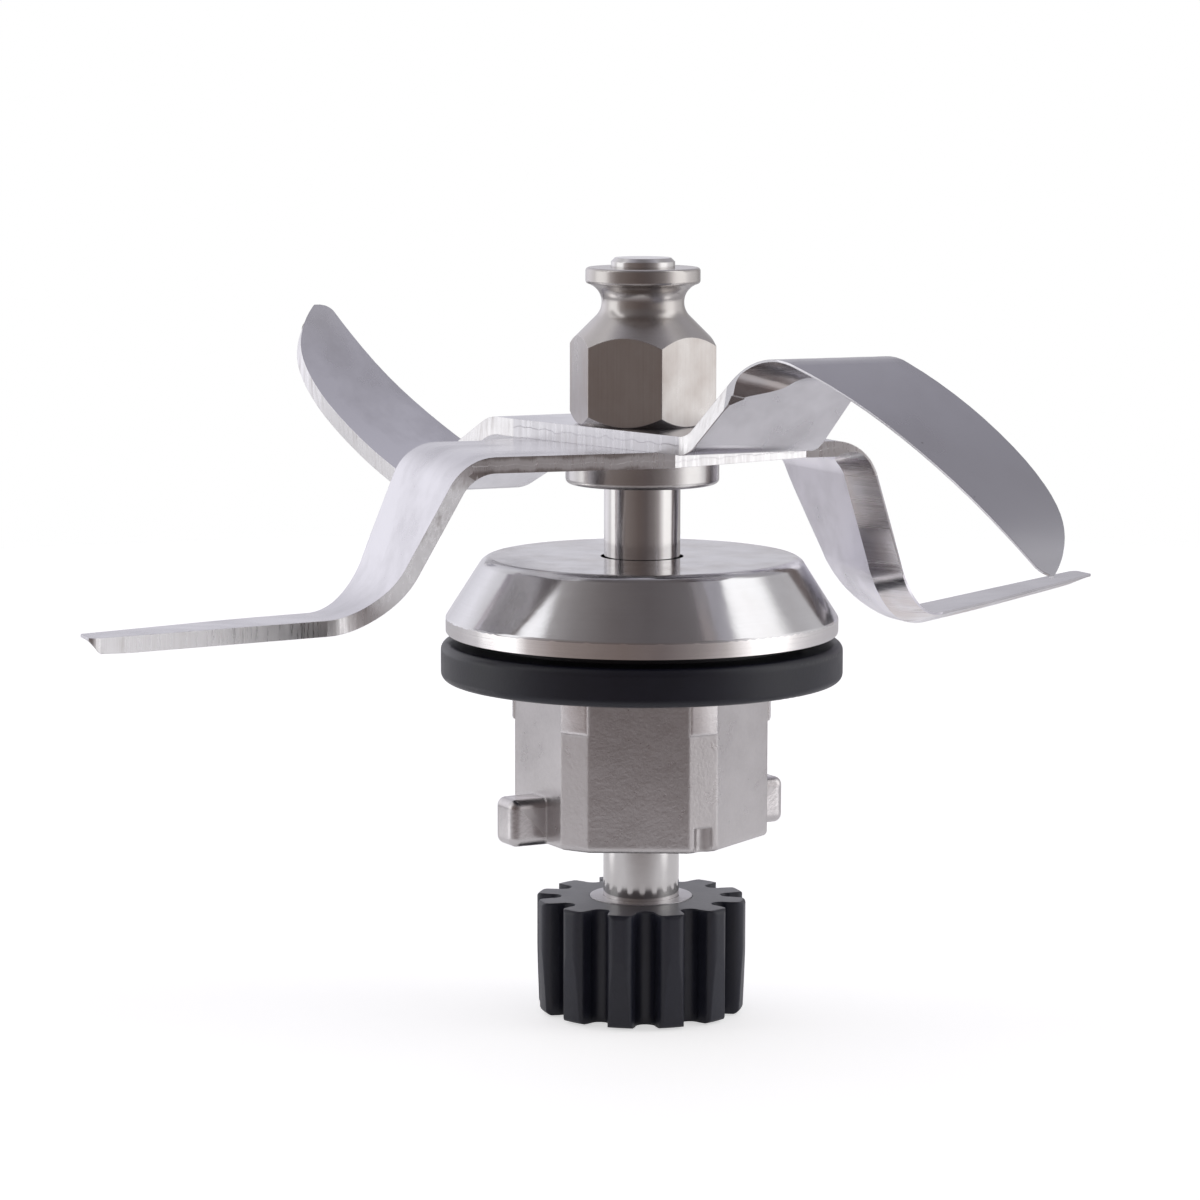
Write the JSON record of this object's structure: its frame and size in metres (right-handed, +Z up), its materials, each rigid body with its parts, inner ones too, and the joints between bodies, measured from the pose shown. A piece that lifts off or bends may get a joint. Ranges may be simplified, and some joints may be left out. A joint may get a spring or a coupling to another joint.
{
  "type": "blender blade assembly",
  "caption": "Blender blade assembly: bent steel blades clamped under a waisted nut on a shaft that spins in a flanged bearing housing with a sealing ring and a toothed drive gear.",
  "frame": {"origin": "on the shaft axis at the underside of the drive gear", "axes": "+Z up along the shaft towards the top nut; +X to the right and -Y towards the viewer in the picture's view"},
  "size_m": [0.1046, 0.092, 0.0794],
  "materials": {
    "polished_steel": "polished",
    "nut_steel": "polished, fine turning marks",
    "blade_steel": "satin, lengthwise grain",
    "cast_metal": "turned flange, matt cast body",
    "black_rubber": "satin",
    "dull_steel": "satin",
    "dark_spring_steel": "phosphate",
    "black_plastic": "satin",
    "cage_plastic": "matt",
    "bearing_steel": "ground"
  },
  "bodies": {
    "housing": {"bearing_housing": "cast_metal", "sealing_ring": "black_rubber", "seal_case": "dull_steel", "seal_lip": "black_rubber", "garter_spring": "dull_steel", "spacer_sleeve": "dull_steel", "bearing_circlip": "dark_spring_steel", "upper_bearing_outer_ring": "bearing_steel", "upper_bearing_bottom_shield": "bearing_steel", "upper_bearing_top_shield": "bearing_steel", "lower_bearing_outer_ring": "bearing_steel", "lower_bearing_bottom_shield": "bearing_steel", "lower_bearing_top_shield": "bearing_steel"},
    "rotor": {"shaft": "polished_steel", "top_nut": "nut_steel", "upper_blade": "blade_steel", "lower_blade": "blade_steel", "blade_collar": "polished_steel", "upper_bearing_inner_ring": "bearing_steel", "lower_bearing_inner_ring": "bearing_steel", "shaft_clip_upper": "dark_spring_steel", "shaft_clip_lower": "dark_spring_steel", "drive_gear": "black_plastic", "gear_insert": "dull_steel"},
    "upper_cage_set": {"upper_bearing_cage": "cage_plastic", "upper_bearing_balls": "bearing_steel"},
    "lower_cage_set": {"lower_bearing_cage": "cage_plastic", "lower_bearing_balls": "bearing_steel"}
  },
  "joints": [
    {"name": "rotor_spin", "type": "hinge", "parent": "housing", "child": "rotor", "pos_m": [0, 0, 0.03], "axis": [0, 0, 1], "continuous": true},
    {"name": "upper_cage_spin", "type": "hinge", "parent": "housing", "child": "upper_cage_set", "pos_m": [0, 0, 0.036], "axis": [0, 0, 1], "continuous": true},
    {"name": "lower_cage_spin", "type": "hinge", "parent": "housing", "child": "lower_cage_set", "pos_m": [0, 0, 0.0245], "axis": [0, 0, 1], "continuous": true}
  ],
  "couplings": [
    {"joint": "upper_cage_spin", "follows": "rotor_spin", "ratio": 0.3677},
    {"joint": "lower_cage_spin", "follows": "rotor_spin", "ratio": 0.3677}
  ]
}
